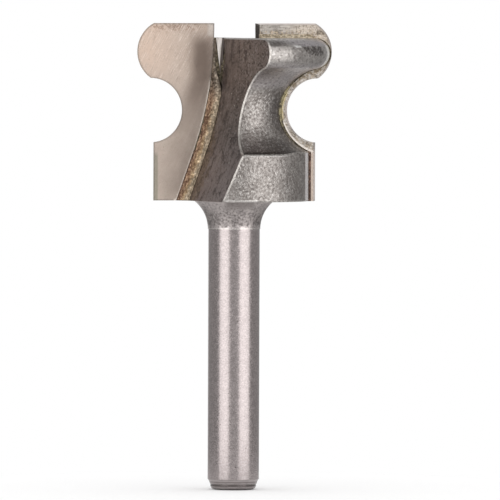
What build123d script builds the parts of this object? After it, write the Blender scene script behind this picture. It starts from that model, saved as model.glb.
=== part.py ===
from build123d import *

# Two-flute finger-grip router bit: a turned and milled steel body with two brazed carbide tips.
#
# Millimetres and degrees. The origin is the centre of the shank's end face, and +Z runs up the axis
# to the cutting end. The outermost points of the two cutting edges lie on the X axis, and the tip on
# the -X side faces -Y. The second flute, tip and braze seam are the first ones turned half round.
#
# Everything about a flute is drawn on its rake face: X runs inward from the outermost point of the
# cutting edge, Y is the height over the shank's end, and Z comes out of the face into the gullet.

import os
from math import cos, hypot, radians, sin, sqrt, tan

# Shank and neck
shank_diameter = 6.35
shank_length = 32.2  # ground length, from the end face to the neck
end_chamfer_depth = 0.5  # radially, on the shank's end
end_chamfer_height = 1.05
end_round = 0.2  # between that chamfer and the end face
neck_step = 0.06  # the turned neck is left this much proud of the ground shank
neck_height = 3.5
neck_flare_radius = 4.4

# Cutting profile, as drawn on the rake face
cutting_diameter = 24.15  # over the bulbs
cutting_height = 21.9
finger_radius = 3.97  # of the bulb and of the cove alike
crown_angle = 61.8  # the flat top cuts the bulb's round this far over its outermost point
wrap_angle = 55.5  # and the bulb's round runs this far under it, to the top of the cove
base_inset = 2.09  # straight edge under the cove, in from the outermost point

# Carbide tips
tip_width = 9.77  # from the outermost point to the inner edge, at the top
tip_thickness = 2.0
hook_angle = 8.0
rim_relief_angle = 20.0
top_relief_angle = 4.0

# Steel head behind the tips, a turned profile
head_setback = 0.3  # of the rim and the waist, radially from the cutting profile
base_setback = 0.61  # of the base
waist_drop = 0.1  # the waist is this much lower than the middle of the cove
rim_radius = 1.9  # round of the rim behind the bulbs
head_drop = 1.8  # the steel stops this far under the top of the tips

# Gullets
gullet_foot = 0.85  # from a tip's inner edge to the foot of the wall
gullet_lean = 12.5  # of the wall, out from the normal of the rake face
gullet_sweep_radius = 46.0
gullet_exit_angle = 19.8
gullet_lead = 1.1  # the wall starts to curve this much over the steel's top
gullet_lag = 2.1  # and this much lower where the gullet's space ends, far out from the rake face
gullet_outer_exit_angle = 24.5  # the exit angle out there
gullet_corner_radius = 0.6
edge_break = 0.15  # chamfer on the head's edges, behind the gullets and round the base

# Braze
braze_gap = 0.15  # filler behind a tip and along its inner edge
braze_rim = 0.2  # the filler stands this far out of the steel round the seat
bead_climb = 1.3  # how far the bead in the gullet's corner climbs the wall
bead_clean_width = 0.35  # where the top was ground clean, the bead is left this wide beside the tip
bead_clean_spread = 1.25  # and is gone out to here at the very top
bead_clean_foot = 0.75  # the cleaned wedge ends here
bead_clean_length = 3.5  # and this far down
ledge_bead = 0.5  # bead on top of the steel, behind a tip
ledge_bead_setback = 0.1  # in from the outer end of the tip's top edge

# Worked out from those
shank_radius = shank_diameter / 2
cutting_radius = cutting_diameter / 2
head_bottom = shank_length + neck_height
tip_top = head_bottom + cutting_height
head_top = tip_top - head_drop
sweep_top = head_top + gullet_lead
bulb_drop = finger_radius * sin(radians(crown_angle))  # centre of the bulb under the top
bulb_z = tip_top - bulb_drop
cove_inset = finger_radius * (1 - cos(radians(wrap_angle)))  # centre of the cove
cove_z = bulb_z - finger_radius * sin(radians(wrap_angle)) - finger_radius
head_reach = cutting_radius - head_setback
head_waist_radius = cutting_radius - cove_inset - finger_radius - head_setback
head_base_radius = cutting_radius - base_inset - base_setback
tip_relief = tip_thickness * tan(radians(rim_relief_angle))
tip_top_relief = tip_thickness * tan(radians(top_relief_angle))
tolerance = 1e-3  # for telling which surface an edge lies on
overrun = 3.0  # how far a cutting tool runs past what it cuts
gullet_reach = cutting_diameter  # a gullet is cut this far out of the rake face

hook = radians(hook_angle)
rake_face = Plane(
    origin=(-cutting_radius, 0, 0), x_dir=(cos(hook), sin(hook), 0), z_dir=(sin(hook), -cos(hook), 0)
)


def turned(section):
    """Solid of revolution of a closed section drawn as (radius, height)."""
    return revolve(Plane.XZ * section, Axis.Z)


def shank():
    """Ground shank, with a chamfer and a small round at its end."""
    end_radius = shank_radius - end_chamfer_depth
    outline = Polyline(
        (0, 0),
        (end_radius, 0),
        (shank_radius, end_chamfer_height),
        (shank_radius, shank_length),
        (0, shank_length),
        close=True,
    )
    section = make_face(outline)
    end_corner = section.vertices().group_by(Axis.Y)[0].sort_by(Axis.X)[-1]
    return turned(fillet(end_corner, end_round))


def neck():
    """Neck that flares from the shank to the bottom of the head."""

    def flare(height):
        swell = neck_flare_radius - sqrt(neck_flare_radius**2 - height**2)
        return (shank_radius + neck_step + swell, shank_length + height)

    curve = ThreePointArc(flare(0), flare(neck_height / 2), flare(neck_height))
    rest = Polyline(curve @ 1, (0, head_bottom), (0, shank_length), curve @ 0)
    return turned(make_face([curve, *rest.edges()]))


def head(grow=0.0):
    """Turned head with its base, waist and rounded rim, all radii grown by that much."""
    base = head_base_radius + grow
    waist, waist_z = head_waist_radius + grow, cove_z - waist_drop
    rim = Vector(head_reach - rim_radius + grow, head_top - rim_radius)
    # The waist's arc is the one that touches the rim's round.
    inward, rise = waist - rim.X, rim.Y - waist_z
    waist_arc = (inward**2 + rise**2 - rim_radius**2) / (2 * (rim_radius - inward))
    centre = Vector(waist + waist_arc, waist_z)
    touch = rim + (centre - rim).normalized() * rim_radius
    corner = Vector(base, waist_z - sqrt(waist_arc**2 - (centre.X - base) ** 2))
    outline = [
        Line((0, head_bottom), (base, head_bottom)),
        Line((base, head_bottom), corner),
        ThreePointArc(corner, (waist, waist_z), touch),
        ThreePointArc(touch, rim + Vector(rim_radius, 0), rim + Vector(0, rim_radius)),
        Line(rim + Vector(0, rim_radius), (0, head_top)),
        Line((0, head_top), (0, head_bottom)),
    ]
    return turned(make_face(outline))


def sweep_path(inset, start=sweep_top, exit_angle=gullet_exit_angle):
    """Curve of a gullet's wall, down from over the tips: straight to the height start, then a long
    arc that leans outward, then straight on at the exit angle to under the head."""
    angle = radians(exit_angle)
    radius = gullet_sweep_radius

    def along(turn):
        return Vector(inset - radius * (1 - cos(turn)), start - radius * sin(turn))

    end = along(angle)
    low = head_bottom - overrun
    foot = Vector(end.X - (end.Y - low) * tan(angle), low)
    return [
        Line((inset, tip_top + overrun), along(0)),
        ThreePointArc(along(0), along(angle / 2), end),
        Line(end, foot),
    ]


def outside(path):
    """Face between a gullet's curve and a line beyond the cutting edge."""
    high, low = path[0] @ 0, path[-1] @ 1
    rest = Polyline(low, (-overrun, low.Y), (-overrun, high.Y), high)
    return make_face([*path, *rest.edges()])


def gullet():
    """Floor of a gullet's space, in front of the rake face, and the edges where the wall meets it."""
    inset = tip_width + gullet_foot
    leaned = inset + gullet_reach * tan(radians(gullet_lean))
    outer_path = sweep_path(leaned, sweep_top - gullet_lag, gullet_outer_exit_angle)
    front = outside(sweep_path(inset))
    back = Pos(0, 0, gullet_reach) * outside(outer_path)
    space = loft([front, back], ruled=True)
    floor = space.faces().sort_by(Axis.Z)[0]
    ends = (head_bottom - overrun, tip_top + overrun)
    foot = floor.edges().filter_by_position(Axis.Y, *ends, inclusive=(False, False))
    return floor, foot.sort_by(Axis.X)[1:]


def rounded_gullet():
    """The gullet's space as milled, with its corner rounded."""
    _, foot = gullet()
    return fillet(foot, gullet_corner_radius)


def bead():
    """Braze bead in the gullet's corner, thinner at the top where the rake face was ground."""
    floor, foot = gullet()
    over_bead = chamfer(foot, gullet_foot, bead_climb, reference=floor)
    whole = rounded_gullet() - over_bead
    ground = Polyline(
        (tip_width + bead_clean_width, head_top),
        (tip_width + bead_clean_spread, head_top),
        (tip_width + bead_clean_foot, head_top - bead_clean_length),
        close=True,
    )
    return whole - extrude(make_face(ground), bead_climb)


def tip_outline(inward, drop):
    """Face of a tip with its cutting profile moved inward and its top edge dropped."""
    top = tip_top - drop
    bulb = Vector(finger_radius + inward, bulb_z)
    cove = Vector(cove_inset + inward, cove_z)
    base = base_inset + inward
    across = Vector(finger_radius, 0)
    shoulder = Vector(bulb.X - sqrt(finger_radius**2 - (top - bulb_z) ** 2), top)
    cusp = cove + Vector(0, finger_radius)
    corner = Vector(base, cove_z - sqrt(finger_radius**2 - (base - cove.X) ** 2))
    inner = Vector(tip_width, top)
    profile = make_face(
        [
            Line(inner, shoulder),
            ThreePointArc(shoulder, bulb - across, cusp),
            ThreePointArc(cusp, cove + across, corner),
            Line(corner, (base, head_bottom)),
            Line((base, head_bottom), (tip_width, head_bottom)),
            Line((tip_width, head_bottom), inner),
        ]
    )
    return (profile & outside(sweep_path(tip_width))).face()


def carbide_tip():
    """Carbide tip, relieved behind its cutting edges."""
    front = tip_outline(0, 0)
    back = Pos(0, 0, -tip_thickness) * tip_outline(tip_relief, tip_top_relief)
    return loft([front, back], ruled=True)


def tip_seat():
    """What is milled away behind the rake face for a tip and its braze."""
    return extrude(outside(sweep_path(tip_width + braze_gap)), -tip_thickness - braze_gap)


def braze_seam():
    """Filler behind a tip and along its inner edge, with the beads it left on the steel."""
    tip_room = extrude(outside(sweep_path(tip_width)), -tip_thickness)
    filler = tip_seat() - tip_room + bead()
    filler = filler & (rake_face.location.inverse() * head(braze_rim))
    # The ledge bead starts a little in from the outer end of the top edge, at the back of the tip.
    shoulder = finger_radius * (1 - cos(radians(crown_angle)))
    outer = shoulder + tip_relief + ledge_bead_setback
    section = Plane.YZ.offset(outer) * Polyline(
        (head_top, -tip_thickness),
        (head_top, -tip_thickness - ledge_bead),
        (head_top + ledge_bead, -tip_thickness),
        close=True,
    )
    return filler + extrude(make_face(section), tip_width - outer)


def broken_edges(steel, milled):
    """Edges of the head that are chamfered: down the back of each gullet, and round the base."""
    walls = [cut.shell() for cut in (milled, milled.rotate(Axis.Z, 180))]

    def on_gullet(edge):
        middle = edge @ 0.5
        depth = min(wall.distance_to(middle) for wall in walls)
        return depth < tolerance and hypot(middle.X, middle.Y) > head_waist_radius - tolerance

    def on_base(edge):
        return edge.geom_type == GeomType.CIRCLE and abs(edge.radius - head_base_radius) < tolerance

    sides = steel.edges().filter_by_position(Axis.Z, head_bottom, head_top, (False, False))
    return sides.filter_by(on_gullet) + steel.edges().filter_by(on_base)


def body():
    """Shank, neck and head, one piece of steel with both gullets and both seats milled out."""
    turned_head = head()
    milled = rake_face.location * rounded_gullet()
    seat = rake_face.location * tip_seat()
    for cutter in (milled, seat):
        turned_head = turned_head - cutter - cutter.rotate(Axis.Z, 180)
    return shank() + neck() + chamfer(broken_edges(turned_head, milled), edge_break)


def main():
    os.makedirs("parts", exist_ok=True)
    tip = rake_face.location * carbide_tip()
    seam = rake_face.location * braze_seam()
    pieces = {
        "steel_body": body(),
        "carbide_tip_front": tip,
        "carbide_tip_back": tip.rotate(Axis.Z, 180),
        "braze_seam_front": seam,
        "braze_seam_back": seam.rotate(Axis.Z, 180),
    }
    for name, piece in pieces.items():
        export_step(piece, f"parts/{name}.step")


main()
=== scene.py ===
from math import asin, cos, hypot, pi, radians, sin, tan

import bmesh
import bpy
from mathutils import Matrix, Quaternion, Vector


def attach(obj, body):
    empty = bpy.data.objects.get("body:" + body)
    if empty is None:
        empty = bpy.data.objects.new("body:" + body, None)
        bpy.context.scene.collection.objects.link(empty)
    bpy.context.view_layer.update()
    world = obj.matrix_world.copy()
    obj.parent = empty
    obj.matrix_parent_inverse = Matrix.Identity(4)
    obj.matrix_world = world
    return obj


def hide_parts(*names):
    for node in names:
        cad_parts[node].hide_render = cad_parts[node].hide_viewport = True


# Two-flute finger-grip router bit standing on the end of its shank. Every length in the script is
# written in millimetres and angles in degrees; MM turns a length into the frame's metres.
MM = 0.001

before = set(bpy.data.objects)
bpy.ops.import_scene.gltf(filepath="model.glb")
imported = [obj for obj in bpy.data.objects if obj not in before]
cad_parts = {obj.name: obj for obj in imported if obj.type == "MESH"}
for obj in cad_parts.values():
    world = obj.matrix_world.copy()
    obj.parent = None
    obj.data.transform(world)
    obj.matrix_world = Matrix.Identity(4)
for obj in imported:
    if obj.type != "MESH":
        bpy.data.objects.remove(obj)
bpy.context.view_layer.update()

# Shank, neck and head
SHANK_TOP = 32.2
END_CHAMFER = 1.05
# Steps that the lathe left on the shank's end: height and radius of each, from the top down
END_STEPS = (
    (1.32, 3.175), (1.22, 3.10), (1.00, 2.975), (0.72, 2.88), (0.64, 2.80), (0.56, 2.80),
    (0.50, 2.83), (0.34, 2.79), (0.19, 2.68), (0.07, 2.50), (0.0, 2.28))
NECK_TOP = 35.7
HEAD_TOP = 55.8
BASE_RADIUS = 9.375
BASE_TOP = 41.772
WAIST_CENTRE, WAIST_ARC, WAIST_TOUCH = (11.509, 46.759), 5.425, 52.048  # the head's cove
RIM_CENTRE, RIM_ARC = (9.875, 53.9), 1.9
EDGE_BREAK = 0.15
SHARP_ANGLE = 18.0  # facets that meet at more than this meet at a real edge
MERGE, NEAR = 0.001, 0.01  # corners this close are one, and heights this close are the same
LEVEL, SQUARE = 0.999, 0.995  # cosines over which a facet lies flat, or on the rake face
TURNED_SLACK, RAKE_SLACK = 0.06, 0.02  # how far a facet may lie off either surface
BREAK_REACH = 1.8  # facets of a broken edge are up to this many times its width
RELIEF_NEAR, RELIEF_FAR = 2.75, 3.6  # strip of the base relieved with the tip, behind its rake face
# The base's upper edge lies this much lower away from the tips: how much, between which two
# distances behind a rake face, how far up the cove it fades out, and the least radius it moves
RUNOUT, RUNOUT_NEAR, RUNOUT_FAR, RUNOUT_FADE, RUNOUT_INNER = 0.28, 4.8, 7.0, 1.6, 6.8
SCRATCH_TURN = 30.0  # from upright, clockwise

# Rake faces: drawn from the outermost point of a cutting edge, like the flutes of the solid
CUTTING_RADIUS = 12.075
HOOK_ANGLE = 8.0
TIP_WIDTH = 9.77
GULLET_FOOT = 0.85
SWEEP_RADIUS = 46.0
SWEEP_TOP = 56.9
EXIT_ANGLE = 19.8
BULB_Z = 54.10
COVE_Z = 46.86

hook, leave = radians(HOOK_ANGLE), radians(EXIT_ANGLE)
SWEEP_END = SWEEP_TOP - SWEEP_RADIUS * sin(leave)  # below this the seam runs straight
RAKE_IN = Vector((cos(hook), sin(hook), 0))
RAKE_OUT = Vector((sin(hook), -cos(hook), 0))
GULLET_SENSE = (-0.9, -0.43, 0)  # which side of this the walls of the front gullet lie on

# Camera
CAMERA_AZIMUTH = -6.0
CAMERA_ELEVATION = 1.7
CAMERA_DISTANCE = 1300.0
VIEW_WIDTH = 61.77
VIEW_SHIFT = 1.98
VIEW_HEIGHT = 29.6
CAMERA_ROLL = 0.2
SENSOR = 36.0
CLIP_NEAR, CLIP_FAR = 0.01, 200  # metres


# ---------------------------------------------------------------- node boards
class Board:
    """A node tree with short calls for the nodes that the finishes use."""

    def __init__(self, tree):
        self.tree = tree

    def add(self, kind, outlet=0, values=None, **settings):
        node = self.tree.nodes.new(kind)
        for key, value in settings.items():
            setattr(node, key, value)
        for key, value in (values or {}).items():
            self.feed(node.inputs[key], value)
        return node.outputs[outlet] if outlet is not None else node

    def feed(self, socket, value):
        if isinstance(value, bpy.types.NodeSocket):
            self.tree.links.new(value, socket)
        else:
            socket.default_value = value

    def maths(self, operation, a, b=0.0, c=0.0, clamp=False):
        return self.add(
            "ShaderNodeMath", 0, {0: a, 1: b, 2: c}, operation=operation, use_clamp=clamp)

    def less(self, a, b, clamp=False):
        return self.maths("SUBTRACT", a, b, clamp=clamp)

    def vectors(self, operation, a, b, outlet=0):
        return self.add("ShaderNodeVectorMath", outlet, {0: a, 1: b}, operation=operation)

    def times(self, value, *others):
        for other in others:
            value = self.maths("MULTIPLY", value, other)
        return value

    def plus(self, a, b, c):
        """a times b, plus c."""
        return self.maths("MULTIPLY_ADD", a, b, c)

    def span(self, value, low, high, out_low=0.0, out_high=1.0, smooth=True):
        """Value taken from low..high to out_low..out_high, held at both ends."""
        kind = "SMOOTHSTEP" if smooth else "LINEAR"
        values = {
            "Value": value, "From Min": low, "From Max": high, "To Min": out_low,
            "To Max": out_high}
        return self.add("ShaderNodeMapRange", 0, values, interpolation_type=kind)

    def band(self, value, low, high, soft):
        """One between low and high, falling to nothing over soft outside them."""
        rise = self.span(value, low - soft, low)
        fall = self.span(value, high, high + soft)
        return self.less(rise, fall, True)

    def blend(self, factor, *colours):
        """Two colours, each an outlet or three numbers, mixed by a factor."""
        a, b = ((*c, 1) if isinstance(c, tuple) else c for c in colours)
        return self.add("ShaderNodeMix", 2, {0: factor, 6: a, 7: b}, data_type="RGBA")

    def paint(self, colour, *coats):
        """Tints laid over a colour, each by a share of a mask."""
        for mask, share, tint in coats:
            colour = self.blend(self.times(mask, share), colour, tint)
        return colour

    def parts(self, vector):
        return self.add("ShaderNodeSeparateXYZ", None, {0: vector}).outputs

    def vector(self, x, y, z):
        return self.add("ShaderNodeCombineXYZ", 0, {0: x, 1: y, 2: z})

    def length(self, x, y):
        vector = self.vector(x, y, 0.0)
        return self.add("ShaderNodeVectorMath", 1, {0: vector}, operation="LENGTH")

    def placed(self):
        return self.add("ShaderNodeTexCoord", 3)

    def mapped(self, vector, turn=(0, 0, 0), scale=(1, 1, 1), shift=(0, 0, 0)):
        values = {
            "Vector": vector, "Rotation": tuple(radians(t) for t in turn), "Scale": scale,
            "Location": shift}
        return self.add("ShaderNodeMapping", 0, values)

    def noise(self, vector, size, detail=2.0, rough=0.5, distort=0.0):
        """Noise whose lumps are about size millimetres across."""
        values = {
            "Vector": vector, "Scale": 1 / (size * MM), "Detail": detail, "Roughness": rough,
            "Distortion": distort}
        return self.add("ShaderNodeTexNoise", 0, values)

    def cells(self, vector, size, randomness=1.0, outlet=0, feature="F1"):
        values = {"Vector": vector, "Scale": 1 / (size * MM), "Randomness": randomness}
        return self.add("ShaderNodeTexVoronoi", outlet, values, feature=feature)


def group(name, inlets, outlets, fill):
    """A shader node group with named sockets; fill(board, inlet sockets) returns its outlets."""
    tree = bpy.data.node_groups.new(name, "ShaderNodeTree")
    for socket, (kind, value) in inlets.items():
        made = tree.interface.new_socket(socket, in_out="INPUT", socket_type="NodeSocket" + kind)
        if value is not None:
            made.default_value = value
    for socket, kind in outlets.items():
        tree.interface.new_socket(socket, in_out="OUTPUT", socket_type="NodeSocket" + kind)
    board = Board(tree)
    start, end = tree.nodes.new("NodeGroupInput"), tree.nodes.new("NodeGroupOutput")
    for socket, value in fill(board, start.outputs).items():
        board.feed(end.inputs[socket], value)
    return tree


def use(board, tree, vector, **values):
    """A group placed in a finish."""
    node = board.tree.nodes.new("ShaderNodeGroup")
    node.node_tree = tree
    for key, value in {"Vector": vector, **values}.items():
        board.feed(node.inputs[key], value)
    return node.outputs


# ---------------------------------------------------------------- effects shared by the finishes
def grain_nodes(b, inlet):
    """Blasted grain: short winding ridges and soft peaks, with bright and dark specks."""
    size = b.maths("DIVIDE", 1.0, b.times(inlet["Size"], MM))
    def noise(scale, detail, distortion=0.0):
        values = {"Vector": inlet["Vector"], "Scale": b.times(size, scale), "Detail": detail}
        return b.add(
            "ShaderNodeTexNoise", 0, {**values, "Roughness": 0.55, "Distortion": distortion})
    fine = noise(1.0, 1.0)
    worms = noise(0.55, 0.5, 1.4)
    coarse = noise(0.27, 2.0)
    off_line = b.maths("ABSOLUTE", b.less(worms, 0.5))
    ridge = b.span(off_line, 0.075, 0.0)
    height = b.plus(ridge, 0.45, b.times(fine, 0.8))
    tone = b.plus(coarse, 0.35, b.times(fine, 0.55))
    return {
        "Height": height,
        "Tone": b.span(b.plus(ridge, 0.10, tone), 0.36, 0.62),
        "Specks": b.times(b.span(fine, 0.57, 0.68), b.plus(ridge, 0.7, 0.3)),
        "Pits": b.span(fine, 0.43, 0.33),
    }


def edge_wear_highlight_nodes(b, inlet):
    """Where an edge is near: the surface seen through a small round differs from the real one. The
    finishes paint such edges lighter, as wear and as a painted highlight.
    """
    round_normal = b.add("ShaderNodeBevel", 0, {"Radius": b.times(inlet["Width"], MM)}, samples=6)
    true_normal = b.add("ShaderNodeNewGeometry", 1)
    along = b.vectors("DOT_PRODUCT", round_normal, true_normal, 1)
    edge = b.span(along, 0.995, 0.86)
    outline = b.span(along, 0.985, 0.94)
    uneven = b.noise(inlet["Vector"], 0.5, 3.0, 0.65)
    worn_highlight = b.times(edge, b.span(uneven, 0.3, 0.55, 0.35, 1.0))
    return {"Outline": outline, "Worn Highlight": worn_highlight}


def scratch_nodes(b, inlet):
    """Fine straight scratches along the Y of the vector that comes in, in three widths."""
    total = None
    for width, length, shift in ((0.05, 2.6, 3.0), (0.09, 4.2, 17.0), (0.035, 1.4, 41.0)):
        stretched = b.mapped(
            inlet["Vector"], scale=(1 / width, 1 / length, 1 / width), shift=(shift, shift, shift))
        lines = b.add(
            "ShaderNodeTexNoise", 0, {"Vector": stretched, "Scale": 1 / MM, "Detail": 1.0})
        mark = b.span(lines, 0.56, 0.70)
        total = mark if total is None else b.maths("ADD", total, mark)
    return {"Lines": b.maths("MULTIPLY", total, 0.5, clamp=True)}


def mottle_nodes(b, inlet):
    """Slow uneven patches, such as heat tint, oil film and handling marks."""
    slow = b.noise(inlet["Vector"], 3.0, 4.0, 0.6, 0.4)
    quick = b.noise(b.mapped(inlet["Vector"], shift=(0.013, 0.007, 0.002)), 0.7, 3.0, 0.6)
    return {"Slow": b.span(slow, 0.3, 0.7), "Quick": b.span(quick, 0.3, 0.7)}


def flute_nodes(b, inlet):
    """Place on the nearer flute, in millimetres: inward from its edge, up, out of its rake face."""
    p = b.parts(inlet["Vector"])
    sense = b.vectors("DOT_PRODUCT", inlet["Vector"], inlet["Sense"], 1)
    sign = b.times(b.maths("SIGN", sense), 1 / MM)
    x = b.plus(p[0], sign, CUTTING_RADIUS)
    y = b.times(p[1], sign)
    inward = b.plus(x, cos(hook), b.times(y, sin(hook)))
    out = b.plus(x, sin(hook), b.times(y, -cos(hook)))
    return {"Inward": inward, "Height": b.maths("DIVIDE", p[2], MM), "Out": out}


VECTOR_IN = {"Vector": ("Vector", None)}
flute_place = group(
    "flute_place", {**VECTOR_IN, "Sense": ("Vector", (-1, 0, 0))},
    {"Inward": "Float", "Height": "Float", "Out": "Float"}, flute_nodes)
metal_grain = group(
    "metal_grain", {**VECTOR_IN, "Size": ("Float", 0.2)},
    {"Height": "Float", "Tone": "Float", "Specks": "Float", "Pits": "Float"}, grain_nodes)
edge_wear_highlight = group(
    "edge_wear_highlight", {**VECTOR_IN, "Width": ("Float", 0.1)}, {"Outline": "Float", "Worn Highlight": "Float"},
    edge_wear_highlight_nodes)
fine_scratches = group("fine_scratches", VECTOR_IN, {"Lines": "Float"}, scratch_nodes)
slow_mottle = group("slow_mottle", VECTOR_IN, {"Slow": "Float", "Quick": "Float"}, mottle_nodes)


def look(b, colour, rough, bump, height, metal=1.0):
    """Socket values of a finish; bump is its strength and its depth in millimetres."""
    values = {"Strength": bump[0], "Distance": bump[1] * MM, "Height": height}
    normal = b.add("ShaderNodeBump", 0, values)
    return {"Base Color": colour, "Metallic": metal, "Roughness": rough, "Normal": normal}


def finish_material(name, fill):
    """A material whose Principled BSDF gets the values that fill(board, place) returns."""
    material = bpy.data.materials.new(name)
    material.use_nodes = True
    board = Board(material.node_tree)
    bsdf = material.node_tree.nodes["Principled BSDF"]
    for socket, value in fill(board, board.placed()).items():
        board.feed(bsdf.inputs[socket], value)
    return material


# Painted highlight and shade bands on the steps of the shank's end: low, high and softness, and the
# colour
END_LIGHT_SHADE_BANDS = (
    (1.10, 1.18, 0.05, (0.66, 0.60, 0.59)), (0.93, 0.99, 0.06, (0.33, 0.29, 0.285)),
    (0.44, 0.66, 0.06, (0.20, 0.175, 0.17)))


def ground_shank(b, place):
    """Centreless-ground steel: satin, slightly pitted, with fine rings, and turned at its end."""
    grain = use(b, metal_grain, place, Size=0.20)
    rings = b.noise(b.mapped(place, scale=(0.15, 0.15, 1)), 0.10, 2.0, 0.6)
    patches = use(b, slow_mottle, place)
    pits = b.span(b.cells(place, 1.25), 0.10, 0.05)
    blots = b.span(b.noise(place, 0.55, 3.0, 0.7), 0.64, 0.72)
    height = b.parts(place)[2]
    colour = b.blend(grain["Tone"], (0.455, 0.402, 0.396), (0.575, 0.510, 0.502))
    colour = b.paint(
        colour, (patches["Quick"], 0.10, (0.38, 0.335, 0.33)),
        (b.span(rings, 0.52, 0.64), 0.18, (0.30, 0.27, 0.265)),
        (b.maths("MAXIMUM", pits, b.times(blots, 0.6)), 0.55, (0.14, 0.115, 0.105)))
    end = b.span(height, (END_STEPS[0][0] + 0.02) * MM, (END_STEPS[0][0] - 0.02) * MM)
    turned = b.blend(b.span(rings, 0.42, 0.60), (0.46, 0.41, 0.405), (0.60, 0.545, 0.535))
    # The steps are painted with highlight and shade bands, and the lowest edge is painted dark as
    # shade.
    for low, high, soft, tint in END_LIGHT_SHADE_BANDS:
        turned = b.blend(b.band(height, low * MM, high * MM, soft * MM), turned, tint)
    turned = b.blend(b.span(height, 0.14 * MM, 0.05 * MM), turned, (0.26, 0.235, 0.23))
    colour = b.blend(b.times(end, 0.95), colour, turned)
    rough = b.plus(grain["Tone"], 0.07, 0.20)
    level = b.plus(rings, 0.35, b.times(grain["Height"], 0.9))
    return look(b, colour, rough, (0.35, 0.012), level)


def turned_neck(b, place):
    """Turned and then heat-treated steel: duller and greyer than the ground shank."""
    grain = use(b, metal_grain, place, Size=0.26)
    rings = b.noise(b.mapped(place, scale=(0.12, 0.12, 1)), 0.12, 2.0, 0.6)
    edge = use(b, edge_wear_highlight, place, Width=0.12)
    height = b.parts(place)[2]
    flare = b.span(height, (NECK_TOP - 1.6) * MM, (NECK_TOP - 0.3) * MM)
    colour = b.blend(grain["Tone"], (0.27, 0.243, 0.236), (0.51, 0.460, 0.446))
    colour = b.paint(
        colour, (flare, 0.5, (0.70, 0.637, 0.62)), (grain["Specks"], 0.4, (0.60, 0.57, 0.53)),
        (grain["Pits"], 0.4, (0.10, 0.088, 0.08)))
    # The neck is painted darker under the head on one side.
    p = b.parts(place)
    stain = b.times(b.band(p[0], -1.1 * MM, 1.7 * MM, 0.8 * MM), b.span(p[1], 0.0, -1.0 * MM))
    stain = b.times(stain, b.span(height, (NECK_TOP - 1.3) * MM, (NECK_TOP - 0.5) * MM))
    colour = b.paint(colour, (stain, 0.60, (0.22, 0.195, 0.185)))
    # The shank's grinding wheel just reached the foot of the neck: glossier there, and painted
    # lighter as a highlight where the shank's reflected stripes begin.
    reached = b.plus(b.less(b.noise(place, 0.7, 3.0, 0.65), 0.5), 1.6 * MM, height)
    reached = b.span(reached, (SHANK_TOP + 0.55) * MM, (SHANK_TOP + 0.15) * MM)
    colour = b.paint(colour, (reached, 0.9, (0.66, 0.60, 0.585)))
    joint = b.band(height, SHANK_TOP * MM, (SHANK_TOP + 0.12) * MM, 0.0001)
    # A light line at the joint, and the edges lightened as wear and as a painted highlight.
    colour = b.paint(
        colour, (joint, 0.7, (0.72, 0.67, 0.64)), (edge["Worn Highlight"], 0.5, (0.5, 0.47, 0.43)))
    rough = b.plus(grain["Tone"], 0.08, 0.47)
    rough = b.plus(reached, -0.22, rough)
    level = b.plus(rings, 0.5, b.times(grain["Height"], 0.7))
    return look(b, colour, rough, (0.6, 0.03), level)


def faced_steel(b, place):
    """The head's flat ends, faced on the lathe: fine rings round the axis."""
    p = b.parts(place)
    radius = b.length(p[0], p[1])
    rings = b.noise(b.vector(radius, 0.0, 0.0), 0.16, 3.0, 0.7)
    grain = use(b, metal_grain, place, Size=0.2)
    patches = use(b, slow_mottle, place)
    edge = use(b, edge_wear_highlight, place, Width=0.10)
    colour = b.blend(b.span(rings, 0.35, 0.65), (0.24, 0.22, 0.205), (0.40, 0.375, 0.355))
    # The edges are lightened as wear and as a painted highlight.
    colour = b.paint(
        colour, (patches["Slow"], 0.4, (0.20, 0.175, 0.16)),
        (edge["Worn Highlight"], 0.6, (0.60, 0.57, 0.53)))
    rough = b.plus(patches["Quick"], 0.10, 0.30)
    level = b.plus(grain["Height"], 0.3, rings)
    return look(b, colour, rough, (0.4, 0.02), level)


# Marks, painted shade and painted highlights on the head's back, each low, high and softness
# in millimetres: heights, and distances behind the rake face
BLOT_UP = (53.9, 54.7, 0.2)
BLOT_BEHIND = (5.5, 7.8, 0.3)
SHADE_UP = (54.95, 55.45, 0.2)
BESIDE_UP = (44.6, 48.6, 1.4)
BESIDE_BEHIND = (2.3, 3.2, 0.45)
SMUDGE_UP = (53.3, 54.4, 0.3)
SMUDGE_BEHIND = (8.2, 8.9, 0.3)
BRINK_UP = (52.4, 54.6, 0.6)
RIM_HIGHLIGHT_UP = (53.5, 54.2, 0.3)
RIM_HIGHLIGHT_BEHIND = (9.5, 10.3, 0.5)
CROWN_UP = (54.95, 55.5, 0.2)
THROAT_UP = (50.2, 52.2, 0.9)
NICK_GLINT_UP = (54.75, 54.92, 0.08)
NICK_GLINT_BEHIND = (8.25, 8.6, 0.12)


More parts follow.
